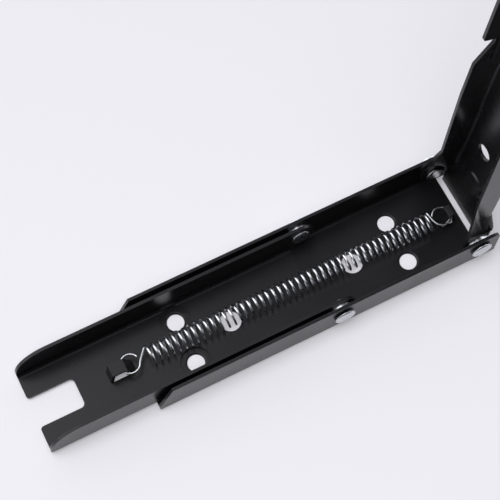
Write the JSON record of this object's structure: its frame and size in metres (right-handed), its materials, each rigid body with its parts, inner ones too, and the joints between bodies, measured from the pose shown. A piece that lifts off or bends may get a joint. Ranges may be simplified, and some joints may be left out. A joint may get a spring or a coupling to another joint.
{
  "type": "folding shelf bracket",
  "caption": "Folding shelf bracket: nested steel channels with a riveted wall plate, a spring-loaded forked strut, a notched support arm and a release lever inside the arm",
  "frame": {"origin": "the point of the wall mounting face that lies under the middle of the arm's hinge axis", "axes": "+X runs from the hinge along the wall channel towards the strut's fork, +Z points out of the mounting face, +Y follows by the right-hand rule along the hinge axis; the bracket lies on its mounting face with the arm standing up and the strut folded"},
  "size_m": [0.1868, 0.041, 0.2114],
  "materials": {
    "black_paint": "smooth semi-gloss black paint",
    "plated_steel": "bright zinc plate",
    "spring_wire": "bright nickel-plated spring wire"
  },
  "bodies": {
    "wall": {"wall_channel": "black_paint", "hinge_rivet_near": "plated_steel", "hinge_rivet_far": "plated_steel", "strut_rivet_near": "plated_steel", "strut_rivet_far": "plated_steel", "strut_washer_near": "plated_steel", "strut_washer_far": "plated_steel", "hinge_washer_near": "plated_steel", "hinge_washer_far": "plated_steel"},
    "strut": {"strut_channel": "black_paint"},
    "arm": {"support_arm": "black_paint", "lever_pin": "plated_steel"},
    "lever": {"release_lever": "black_paint"},
    "spring": {"extension_spring": "spring_wire"}
  },
  "joints": [
    {"name": "arm_fold", "type": "hinge", "parent": "wall", "child": "arm", "pos_m": [0, 0, 0.0116], "axis": [0, -1, 0], "range_deg": [-92.5, 10.5]},
    {"name": "strut_swing", "type": "hinge", "parent": "wall", "child": "strut", "pos_m": [0.057, 0, 0.0108], "axis": [0, -1, 0], "range_deg": [0, 123.31]},
    {"name": "release_press", "type": "hinge", "parent": "arm", "child": "lever", "pos_m": [-0.00531, 0, 0.1515], "axis": [0, -1, 0], "range_deg": [0, 7], "stiffness_Nm_per_rad": 0.08, "springref_deg": -11.46},
    {"name": "spring_swing", "type": "hinge", "parent": "wall", "child": "spring", "pos_m": [0.00221, 0, 0.0065], "axis": [0, -1, 0], "range_deg": [0, 78.9], "deforming": ["extension_spring"]}
  ],
  "couplings": [
    {"joint": "spring_swing", "follows": "strut_swing", "ratio": 0.6357}
  ]
}
